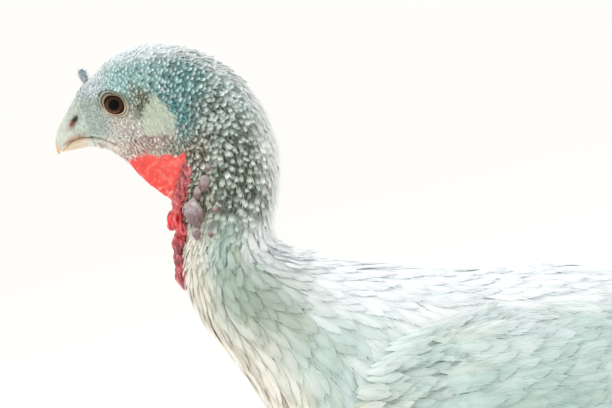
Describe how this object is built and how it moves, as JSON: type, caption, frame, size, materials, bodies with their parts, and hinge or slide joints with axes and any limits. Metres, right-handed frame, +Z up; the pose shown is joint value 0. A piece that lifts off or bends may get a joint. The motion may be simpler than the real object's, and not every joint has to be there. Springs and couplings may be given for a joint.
{
  "type": "domestic turkey",
  "caption": "White domestic turkey hen standing at life size, head up, wings folded, closed tail trailing low behind.",
  "frame": {"origin": "on the floor, under the middle of the bird's bounding box", "axes": "+Z up; +X towards the tail, so the bill points along -X; +Y towards the bird's right side, so the left side faces -Y"},
  "size_m": [0.6464, 0.2508, 0.641],
  "materials": {
    "plumage": "soft white feathers, matt",
    "face_skin": "pale blue-grey bare skin, slightly moist",
    "wattle": "red fleshy skin, satin",
    "snood": "grey-blue fleshy skin, satin",
    "bill": "horn-coloured keratin, satin",
    "eye": "dark brown, wet",
    "scaly_leg": "pinkish horn scutes, satin",
    "claw": "horn, satin"
  },
  "bodies": {
    "root": {"trunk": "plumage", "neck_lower": "plumage", "neck_upper": "face_skin", "head": "face_skin", "bill_upper": "bill", "bill_lower": "bill", "snood": "snood", "wattle": "wattle", "eye_left": "eye", "eye_right": "eye", "wing_left": "plumage", "wing_right": "plumage", "tail": "plumage", "thigh_left": "plumage", "thigh_right": "plumage", "shank_left": "scaly_leg", "shank_right": "scaly_leg", "foot_left": "scaly_leg", "foot_right": "scaly_leg", "claw_left_inner": "claw", "claw_left_middle": "claw", "claw_left_outer": "claw", "claw_left_hind": "claw", "claw_right_inner": "claw", "claw_right_middle": "claw", "claw_right_outer": "claw", "claw_right_hind": "claw"}
  },
  "joints": []
}
